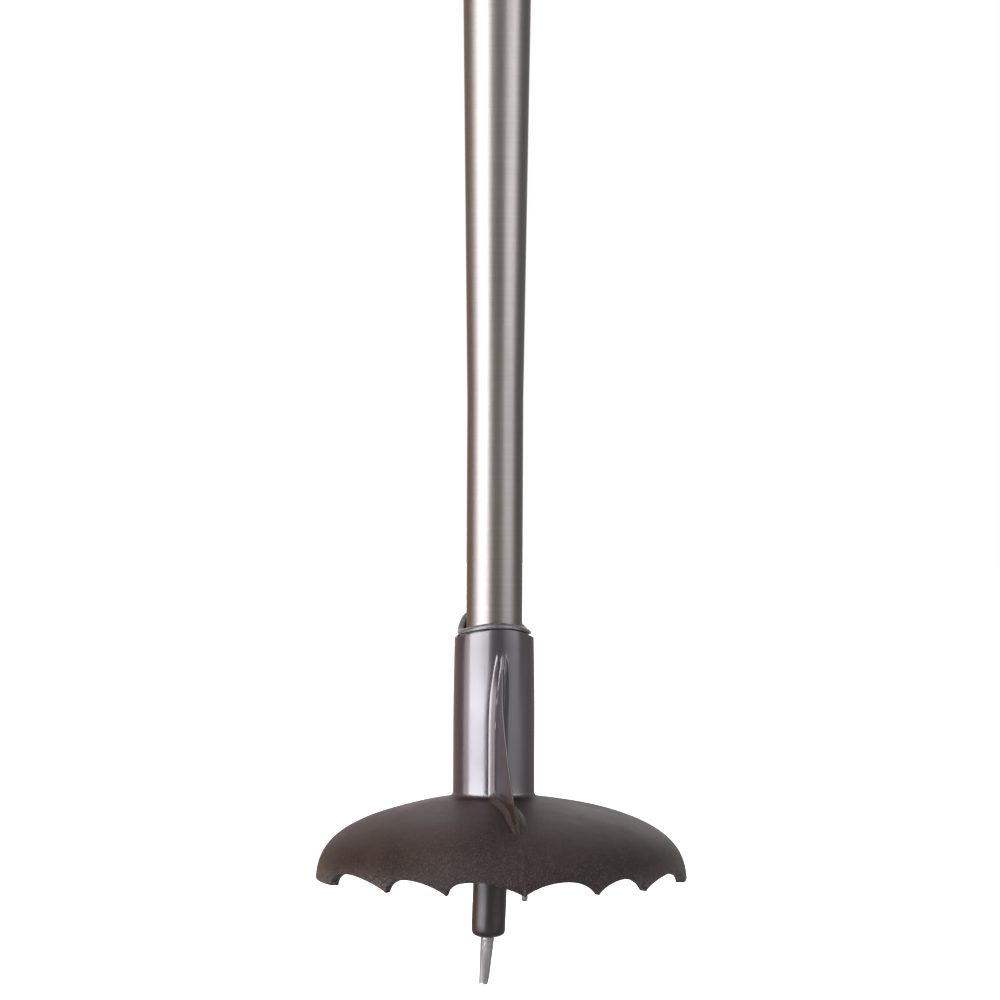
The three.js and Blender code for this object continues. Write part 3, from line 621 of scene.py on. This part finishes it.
def cut(piece, low, high):
    """Takes a box, given by two corners in mm, out of a piece."""
    corners = [(x, y, z) for x in (low[0], high[0]) for y in (low[1], high[1]) for z in (low[2], high[2])]
    faces = [(0, 1, 3, 2), (4, 6, 7, 5), (0, 4, 5, 1), (2, 3, 7, 6), (0, 2, 6, 4), (1, 5, 7, 3)]
    cutter = make_object("cutter", np.array(corners) * MM, faces)
    change = piece.modifiers.new("cut", "BOOLEAN")
    change.operation, change.solver, change.object = "DIFFERENCE", "EXACT", cutter
    bpy.context.view_layer.update()
    result = bpy.data.meshes.new_from_object(piece.evaluated_get(bpy.context.evaluated_depsgraph_get()))
    piece.modifiers.clear()
    piece.data = result
    bpy.data.objects.remove(cutter)


def make_grip():
    rows = [(2, z) for z in np.concatenate([np.linspace(903.4, 921, 26), np.linspace(921.4, 1004, 190),
                                            np.linspace(1004.8, 1035, 44)])]
    path = [(1, GRIP_BOTTOM), (1.5, GRIP_BOTTOM), (1.86, GRIP_BOTTOM), (1.93, 902.1), (1.97, 902.4), (1.99, 902.8),
            *rows, (1.99, 1035.5), (1.97, 1035.8), (1.93, GRIP_TOP), (1.5, GRIP_TOP), (1, GRIP_TOP), (1, 990), (1, 940)]
    grip = lathe("grip_moulding", path, 144, grip_move, closed=True, sharp_degrees=50)
    cut(grip, (-12.5, 14, 1008), (12.5, 40, 1040))
    finish_piece(grip, rubber_material(), "pole", "grip_rubber", "grip_body")

    top = GRIP_BOTTOM - 0.3
    ring = lathe("trim_ring", rounded([
        (8.3, top - 7, 0.3), (11, top - 7, 0.8), (13.2, top - 4.5, 1.2), (14.6, top - 1.2, 0.8), (14.6, top, 0.25),
        (8.3, top, 0.2)], closed=True), 128, closed=True)
    trim = plastic_material("trim_plastic", (0.085, 0.078, 0.075), (0.11, 0.10, 0.097), 0.38)
    finish_piece(ring, trim, "pole", "trim_plastic", "grip_ring")

    low = GRIP_TOP + 0.3
    outer = rounded([(1, low, 0), (1, low + 5, 2), (0.96, low + 8.5, 2), (0.86, low + 11.5, 2),
                     (0.7, POLE_LENGTH, 0.5), (0.4, POLE_LENGTH, 0)])
    outer[:, 0] += 20  # rings beyond this radius are shares of the grip's outline
    well = rounded([(4.9, POLE_LENGTH, 0), (4.5, POLE_LENGTH - 0.3, 0.2), (4.5, low + 8.2, 0.2), (2.1, low + 8.2, 0.1),
                    (2.1, low, 0)])

    def cap_move(p):
        angle = np.arctan2(p[:, 1], p[:, 0])
        radius = np.hypot(p[:, 0], p[:, 1])
        shaped = radius > 15
        square = (np.abs(np.cos(angle)) ** 2.4 + np.abs(np.sin(angle)) ** 2.4) ** (-1 / 2.4)
        _, side, front, back = GRIP_STATIONS[-1]
        scale = np.where(shaped, (radius - 20) * square, radius)
        p[:, 0] = np.cos(angle) * scale * np.where(shaped, side, 1)
        p[:, 1] = np.sin(angle) * scale * np.where(shaped, np.where(p[:, 1] > 0, back, front), 1)
        return p

    cap = lathe("cap_moulding", np.vstack([[[20.96, low]], outer, well]), 144, cap_move, closed=True)
    finish_piece(cap, plastic_material("cap_plastic", (0.030, 0.028, 0.030), (0.042, 0.039, 0.041), 0.36), "pole",
                 "trim_plastic", "grip_cap")


def dress(node, shader, bevel_mm=0.0):
    """A CAD node that is shown as it is, with its edges eased when a bevel is given."""
    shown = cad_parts[node]
    shown.data.materials.clear()
    shown.data.materials.append(shader.material)
    if bevel_mm:
        ease = shown.modifiers.new("eased_edges", "BEVEL")
        ease.width, ease.segments, ease.limit_method = bevel_mm * MM, 3, "ANGLE"
        ease.angle_limit = math.radians(38)
        ease.harden_normals = False


# ---- wrist strap ----
PIN_Y, PIN_Z, STRAP_PIN_R, STRAP_WIDTH, STRAP_THICKNESS = 27.0, 1022.0, 1.6, 20.0, 2.0
LOOP_CENTRE, LOOP_R = np.array([58.5, 850.0]), 33.0
NECK_CENTRE, NECK_R = np.array([27.0, 1012.0]), 1.5
BACK_NORMAL = np.array([0.92714, 0.37472])
KNUCKLE_R, KNUCKLE_THICKNESS = 2.55, 1.2


def strap_line():
    """The middle line of the webbing in (y, z), evenly spaced, and its length, in mm. It starts in front of the pin."""
    front_turn, back_turn = 180.0, 360 + math.degrees(math.atan2(BACK_NORMAL[1], BACK_NORMAL[0]))
    bottom = np.radians(np.linspace(front_turn, back_turn, 90))
    top = np.radians(np.linspace(0, 180, 40))
    corners = np.vstack([
        [[PIN_Y - KNUCKLE_R, PIN_Z]], [[PIN_Y - NECK_R - 0.1, NECK_CENTRE[1] + 2]],
        [[PIN_Y - NECK_R, NECK_CENTRE[1] - 2]],
        LOOP_CENTRE + LOOP_R * np.stack([np.cos(bottom), np.sin(bottom)], axis=1),
        [NECK_CENTRE + NECK_R * BACK_NORMAL], [[PIN_Y + NECK_R + 0.1, NECK_CENTRE[1] + 2.5]],
        [PIN_Y, PIN_Z] + KNUCKLE_R * np.stack([np.cos(top), np.sin(top)], axis=1),
    ])
    length = np.linalg.norm(np.diff(corners, axis=0), axis=1).sum()
    return along(corners, np.linspace(0, 1, 620, endpoint=False)), length


def webbing_material():
    shader = Shader("strap_webbing", (0.02, 0.02, 0.021), 0.85, specular=0.3)
    place = shader.node("ShaderNodeUVMap").outputs["UV"]
    split = shader.node("ShaderNodeSeparateXYZ", Vector=place)
    across, down = split.outputs["X"], split.outputs["Y"]
    # A twill of yarns 1 mm apart, turning back along the middle of the webbing.
    slant = shader.math("ADD", shader.math("MULTIPLY", down, 6283.0),
                        shader.math("MULTIPLY", shader.math("ABSOLUTE", across, 0), 5000.0))
    yarn = shader.math("SINE", slant, 0)
    warp = shader.math("SINE", shader.math("MULTIPLY", across, 9400.0), 0)
    relief = shader.math("ADD", shader.math("MULTIPLY", yarn, 0.6), shader.math("MULTIPLY", warp, 0.4))
    shader.bump(relief, 0.00022)
    shader.bump(shader.noise(6000, 2), 0.00004)
    shader.colour(shader.blend(shader.ramp(relief, -0.8, 0.9), (0.008, 0.008, 0.009), (0.034, 0.033, 0.034)))
    shader.set("Sheen Weight", 0.25)
    shader.set("Sheen Roughness", 0.4)
    return shader


def thread_material():
    shader = Shader("stitching_thread", (0.16, 0.155, 0.15), 0.7)
    shader.bump(shader.noise(4000, 3), 0.00005)
    return shader


def band(name, line, width, thickness, wrap):
    """A flat band along a line in (y, z), in mm, with its own thickness at each point, and UVs in metres."""
    count = len(line)
    ahead = np.roll(line, -1, axis=0) - np.roll(line, 1, axis=0)
    if not wrap:
        ahead[0], ahead[-1] = line[1] - line[0], line[-1] - line[-2]
    ahead /= np.linalg.norm(ahead, axis=1)[:, None]
    normal = np.stack([ahead[:, 1], -ahead[:, 0]], axis=1)
    # Round the section: a wide bar with rounded edges.
    turn = np.linspace(0, 2 * math.pi, 48, endpoint=False)
    flat_x = np.sign(np.cos(turn)) * np.abs(np.cos(turn)) ** 0.22
    flat_t = np.sign(np.sin(turn)) * np.abs(np.sin(turn)) ** 0.32
    x = np.repeat(flat_x[None, :] * width / 2, count, axis=0)
    off = flat_t[None, :] * np.asarray(thickness)[:, None] / 2
    y = line[:, 0:1] + normal[:, 0:1] * off
    z = line[:, 1:2] + normal[:, 1:2] * off
    points = np.stack([x, y, z], axis=2).reshape(-1, 3)
    faces = grid_faces(count, len(turn), wrap_rows=wrap)
    if not wrap:
        faces += [tuple(range(len(turn)))[::-1], tuple((count - 1) * len(turn) + j for j in range(len(turn)))]
    piece = make_object(name, points * MM, faces, 60)
    run = np.concatenate([[0], np.cumsum(np.linalg.norm(np.diff(line, axis=0), axis=1))]) * MM
    layer = piece.data.uv_layers.new(name="UVMap")
    for loop in piece.data.loops:
        row = loop.vertex_index // len(turn)
        layer.data[loop.index].uv = (points[loop.vertex_index, 0] * MM, run[row])
    return piece


def stitches(name, starts, ends, radius=0.22, length=2.4, gap=0.9):
    """Rows of separate stitches, from each start to its end, in mm."""
    vertices, faces = [], []
    for start, end in zip(np.asarray(starts, float), np.asarray(ends, float)):
        reach = np.linalg.norm(end - start)
        direction = (end - start) / reach
        side = np.cross(direction, [0.3, 0.5, 0.81])
        side /= np.linalg.norm(side)
        other = np.cross(direction, side)
        for at in np.arange(0.3, reach - length, length + gap):
            first = len(vertices)
            for share in np.linspace(0, 1, 7):
                r = radius * math.sqrt(max(0.02, 1 - (2 * share - 1) ** 4))
                middle = start + direction * (at + share * length)
                for turn in np.linspace(0, 2 * math.pi, 8, endpoint=False):
                    vertices.append((middle + r * (math.cos(turn) * side + math.sin(turn) * other)) * MM)
            faces += [tuple(first + i for i in face) for face in grid_faces(7, 8)]
            faces += [tuple(first + j for j in range(8))[::-1], tuple(first + 48 + j for j in range(8))]
    return make_object(name, vertices, faces, 60)


def make_strap():
    line, length = strap_line()
    near_pin = np.hypot(line[:, 0] - PIN_Y, line[:, 1] - PIN_Z)
    thickness = KNUCKLE_THICKNESS + (STRAP_THICKNESS - KNUCKLE_THICKNESS) * smoothstep(near_pin, 3, 7)
    webbing = band("strap_band", line, STRAP_WIDTH, thickness, wrap=True)
    # Bar tacks across the neck, on both of its faces.
    starts, ends = [], []
    for z in (1013.6, 1015.0, 1016.4):
        for y in (PIN_Y - NECK_R - 1.25, PIN_Y + NECK_R + 1.25):
            starts.append((-8.5, y, z))
            ends.append((8.5, y, z))
    tacks = stitches("strap_stitching", starts, ends)
    finish_piece(tacks, thread_material(), "strap", "strap_fabric")
    finish_piece(webbing, webbing_material(), "strap", "strap_fabric", "strap_webbing")
    make_pad()
    path = rounded([(0, -11.6, 0), (STRAP_PIN_R, -11.6, 0.35), (STRAP_PIN_R, 11.6, 0.35), (0, 11.6, 0)])
    pin = lathe("strap_axle", path, 64, lambda p: p[:, [2, 0, 1]] + [0, PIN_Y, PIN_Z])
    finish_piece(pin, steel_material(), "pole", "pin_steel", "strap_pin")


def pad_material():
    shader = Shader("pad_fabric", (0.04, 0.04, 0.042), 0.9, specular=0.25)
    place = shader.node("ShaderNodeUVMap").outputs["UV"]
    split = shader.node("ShaderNodeSeparateXYZ", Vector=place)
    knit = shader.math("MULTIPLY", shader.math("SINE", shader.math("MULTIPLY", split.outputs["X"], 7000.0), 0),
                       shader.math("SINE", shader.math("MULTIPLY", split.outputs["Y"], 7000.0), 0))
    shader.bump(knit, 0.00018)
    fuzz = shader.noise(900, 4)
    shader.colour(shader.blend(shader.ramp(knit, -0.8, 0.8), (0.020, 0.020, 0.021), (0.055, 0.055, 0.058)))
    shader.roughen(shader.ramp(fuzz, 0.3, 0.7, 0.8, 0.95))
    shader.set("Sheen Weight", 0.4)
    return shader


PAD_WIDTH, PAD_THICKNESS, PAD_OUTER = 32.0, 4.0, 31.6
PAD_FROM, PAD_TO, PAD_SEAM = -178.0, 8.0, 12.6


def make_pad():
    """The pad inside the loop: soft filling between two stitched seams, with thin bound edges."""
    turn = np.radians(np.linspace(PAD_FROM, PAD_TO, 150))
    across = np.linspace(-1, 1, 61)
    reach = np.abs(np.linspace(-1, 1, len(turn)))
    ends = np.sqrt(np.clip(1 - smoothstep(reach, 0.965, 1.0) ** 2 * 0.9, 0, 1))
    rows = []
    for angle, end in zip(turn, ends):
        x = across * PAD_WIDTH / 2 * (0.9 + 0.1 * end)
        seam = np.exp(-((np.abs(x) - PAD_SEAM) / 0.9) ** 2)
        crown = (1 - np.abs(across) ** 4) ** 0.6
        quilt = 0.25 * (0.5 + 0.5 * math.cos(10 * angle)) ** 8 * (np.abs(x) < PAD_SEAM)
        thick = np.maximum(0.35, PAD_THICKNESS * crown * end - 1.5 * seam - 2.2 * quilt)
        inner = PAD_OUTER - 0.25 * (1 - crown) - thick
        outer = np.full_like(inner, PAD_OUTER) - 0.25 * (1 - crown)
        section_x = np.concatenate([x, x[::-1]])
        radius = np.concatenate([inner, outer[::-1]])
        rows.append(np.stack([section_x, LOOP_CENTRE[0] + radius * math.cos(angle),
                              LOOP_CENTRE[1] + radius * math.sin(angle)], axis=1))
    points = np.array(rows)
    count, columns = points.shape[:2]
    faces = [face[::-1] for face in grid_faces(count, columns)]
    faces += [tuple(range(columns)), tuple((count - 1) * columns + j for j in range(columns))[::-1]]
    pad = make_object("pad_cushion", points.reshape(-1, 3) * MM, faces, 70)
    layer = pad.data.uv_layers.new(name="UVMap")
    for loop in pad.data.loops:
        row = loop.vertex_index // columns
        flat = points.reshape(-1, 3)[loop.vertex_index]
        layer.data[loop.index].uv = (flat[0] * MM, turn[row] * PAD_OUTER * MM)
    finish_piece(pad, pad_material(), "strap", "pad_fabric", "strap_pad")


# ---- camera, light and floor ----
VIEW_TURN = math.radians(-7)  # the fin shows 7 degrees to the right of the middle
CAMERA_FAR, CAMERA_HEIGHT = 0.782, 0.1037
CAMERA_ASIDE = 0.0011
CAMERA_ROLL = math.radians(0.264)


def turned_place(degrees_right, distance, height):
    """A place round the pole, at an angle to the right of the camera's own direction."""
    a = VIEW_TURN + math.radians(degrees_right)
    return Vector((math.sin(a) * distance, -math.cos(a) * distance, height))


def make_camera():
    data = bpy.data.cameras.new("camera")
    data.lens, data.sensor_width = 131.4, 36
    camera = bpy.data.objects.new("camera", data)
    scene.collection.objects.link(camera)
    upright = Matrix.Rotation(VIEW_TURN, 4, "Z") @ Matrix.Rotation(math.pi / 2, 4, "X")
    turn = upright @ Matrix.Rotation(CAMERA_ROLL, 4, "Z")
    right = Vector((math.cos(VIEW_TURN), math.sin(VIEW_TURN), 0))
    place = turned_place(0, CAMERA_FAR, CAMERA_HEIGHT) + right * CAMERA_ASIDE
    camera.matrix_world = Matrix.Translation(place) @ turn
    scene.camera = camera


def softbox(name, degrees_right, distance, height, width, tall, radiance, color=(1, 1, 1), aim_height=None):
    data = bpy.data.lights.new(name, "AREA")
    data.shape = "RECTANGLE"
    data.size, data.size_y = width, tall
    data.energy = radiance * width * tall * math.pi
    data.color = color
    box = bpy.data.objects.new(name, data)
    scene.collection.objects.link(box)
    place = turned_place(degrees_right, distance, height)
    aim = Vector((0, 0, height if aim_height is None else aim_height))
    box.matrix_world = Matrix.Translation(place) @ (place - aim).to_track_quat("Z", "Y").to_matrix().to_4x4()
    box.visible_camera = False


def make_world():
    """Surroundings that are warm on the left and darker overhead, and plain white where the camera sees them."""
    world = bpy.data.worlds.new("studio")
    scene.world = world
    world.use_nodes = True
    nodes, links = world.node_tree.nodes, world.node_tree.links

    def toward(direction, low, high):
        """How far a ray points in a direction, from 0 to 1."""
        place = nodes.new("ShaderNodeTexCoord")
        dot = nodes.new("ShaderNodeVectorMath")
        dot.operation = "DOT_PRODUCT"
        dot.inputs[1].default_value = direction
        share = nodes.new("ShaderNodeMapRange")
        share.interpolation_type = "SMOOTHSTEP"
        share.inputs["From Min"].default_value = low
        share.inputs["From Max"].default_value = high
        links.new(place.outputs["Generated"], dot.inputs[0])
        links.new(dot.outputs["Value"], share.inputs["Value"])
        return share.outputs["Result"]

    def between(factor, low, high):
        tint = nodes.new("ShaderNodeMix")
        tint.data_type = "RGBA"
        links.new(factor, tint.inputs["Factor"])
        for socket, color in (("A", low), ("B", high)):
            if isinstance(color, bpy.types.NodeSocket):
                links.new(color, tint.inputs[socket])
            else:
                tint.inputs[socket].default_value = (*color, 1)
        return tint.outputs["Result"]

    level = between(toward(turned_place(0, 1, 0), -0.2, 0.8), (0.50, 0.47, 0.46), (0.78, 0.685, 0.645))
    level = between(toward(turned_place(-120, 1, 0), 0.3, 0.9), level, (0.72, 0.46, 0.34))
    level = between(toward((0, 0, 1), 0.3, 0.9), level, (0.36, 0.31, 0.30))
    level = between(toward(turned_place(180, 0.82, 0.57), 0.75, 0.97), level, (1.5, 1.4, 1.4))
    background = nodes["Background"]
    links.new(level, background.inputs["Color"])
    white = nodes.new("ShaderNodeBackground")
    white.inputs["Color"].default_value = (1, 1, 1, 1)
    path = nodes.new("ShaderNodeLightPath")
    mix = nodes.new("ShaderNodeMixShader")
    links.new(path.outputs["Is Camera Ray"], mix.inputs[0])
    links.new(background.outputs[0], mix.inputs[1])
    links.new(white.outputs[0], mix.inputs[2])
    links.new(mix.outputs[0], nodes["World Output"].inputs["Surface"])


def make_light():
    softbox("left_softbox", -49.5, 1.0, 0.8, 0.91, 1.84, 13.2, (0.985, 0.98, 1.0), aim_height=0.8)
    softbox("left_spill", -84, 1.0, 0.815, 0.36, 1.8, 3.6, (1.0, 0.95, 0.94), aim_height=0.815)
    softbox("right_softbox", 57.5, 1.1, 0.86, 0.94, 1.6, 6.2, (0.97, 0.965, 1.0), aim_height=0.86)


FLOOR_HEIGHT = -0.066  # the basket, drawn all the way off, stays above it


def make_floor():
    shader = Shader("floor_paint", (0.9, 0.9, 0.9), 0.9)
    points = [(x, y, FLOOR_HEIGHT) for x, y in ((-9, -9), (9, -9), (9, 9), (-9, 9))]
    floor = make_object("floor", points, [(0, 1, 2, 3)])
    floor.data.materials.append(shader.material)
    floor.visible_glossy = False
    floor.visible_shadow = False
    # The floor has a lamp of its own, so that it stays pale without washing out the pole.
    lamp = bpy.data.lights.new("floor_lamp", "SUN")
    lamp.energy, lamp.angle = 3.0, math.radians(60)
    overhead = bpy.data.objects.new("floor_lamp", lamp)
    scene.collection.objects.link(overhead)
    lit = bpy.data.collections.new("lit_floor")
    lit.objects.link(floor)
    overhead.light_linking.receiver_collection = lit


make_camera()
make_world()
make_light()
make_floor()
make_shaft()
make_ferrule()
make_pin()
make_basket()
make_gate_nib()
make_grip()
make_strap()
inner = plastic_material("inner_plastic", (0.012, 0.012, 0.013), (0.018, 0.018, 0.019), 0.5)
for name, finish, bevel in (
    ("shaft_plug", inner, 0), ("grip_core", inner, 0), ("cap_screw", steel_material(), 0.15),
    ("strap_bracket", plastic_material("bracket_plastic", (0.014, 0.014, 0.015), (0.022, 0.022, 0.023), 0.42), 0.3),
    ("strap_slider", plastic_material("slider_plastic", (0.010, 0.010, 0.011), (0.017, 0.017, 0.018), 0.6), 0.7),
    ("strap_keeper", plastic_material("keeper_rubber", (0.012, 0.012, 0.012), (0.02, 0.02, 0.02), 0.7), 0.5),
):
    dress(name, finish, bevel)
scene.view_settings.view_transform = "Standard"
